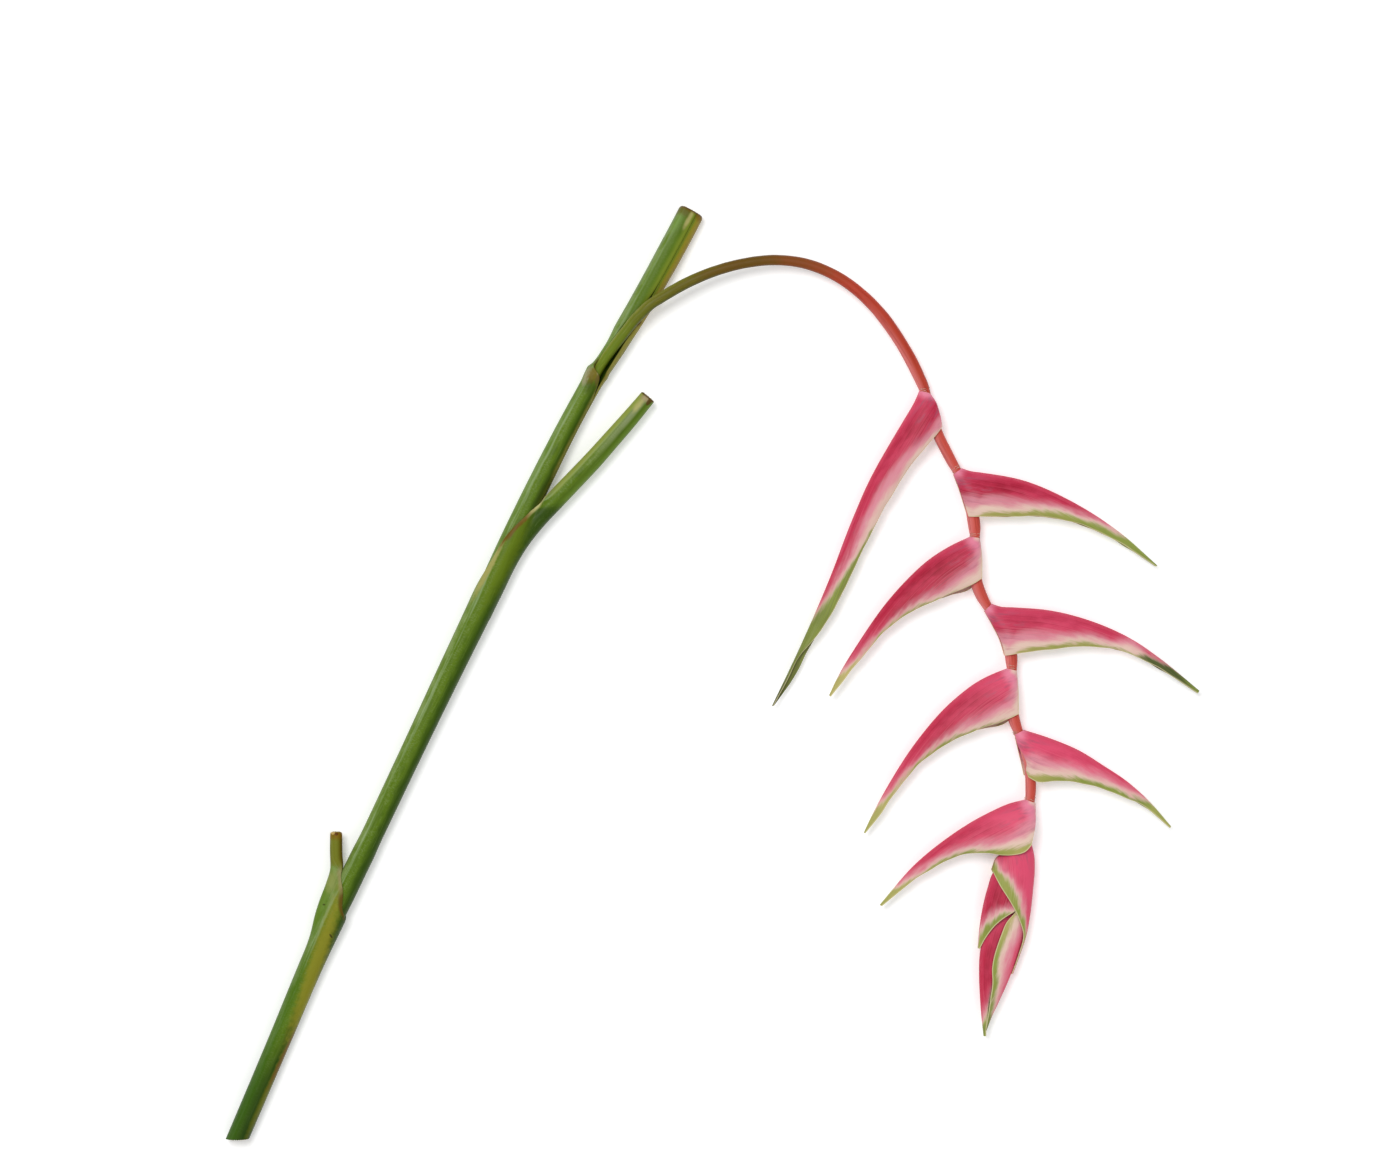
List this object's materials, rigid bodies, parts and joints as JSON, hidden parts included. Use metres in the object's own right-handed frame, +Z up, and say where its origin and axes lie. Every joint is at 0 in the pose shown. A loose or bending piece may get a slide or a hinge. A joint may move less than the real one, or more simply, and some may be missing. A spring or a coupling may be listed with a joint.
{
  "type": "heliconia flower",
  "caption": "Cut stem of hanging heliconia lying on its side, with cut leaf bases, an arching stalk and a zigzag head of boat-shaped bracts ending in a closed bud.",
  "frame": {"origin": "on the surface that the stem lies on, under the middle of its bounding box", "axes": "+X across the picture to the flower head's side, +Y up the picture along the stem from its foot, +Z up from the surface towards the camera"},
  "size_m": [0.6042, 0.578, 0.0202],
  "materials": {
    "leaf_base_1": "waxy green plant skin, drying to brown at the cut petiole",
    "leaf_base_2": "waxy green plant skin",
    "leaf_base_3": "waxy green plant skin",
    "peduncle": "smooth plant skin, olive at the stem and coral red along the head",
    "open_bract": "satin petal skin, crimson and pink with a green margin",
    "bud_bract": "satin petal skin, coral and pink with a green margin"
  },
  "bodies": {
    "root": {"leaf_base_1": "leaf_base_1", "leaf_base_2": "leaf_base_2", "leaf_base_3": "leaf_base_3", "peduncle": "peduncle", "bract_1": "open_bract", "bract_2": "open_bract", "bract_3": "open_bract", "bract_4": "open_bract", "bract_5": "open_bract", "bract_6": "open_bract", "bract_7": "open_bract", "bract_8": "bud_bract", "bract_9": "bud_bract", "bract_10": "bud_bract", "bract_11": "bud_bract"}
  },
  "joints": []
}
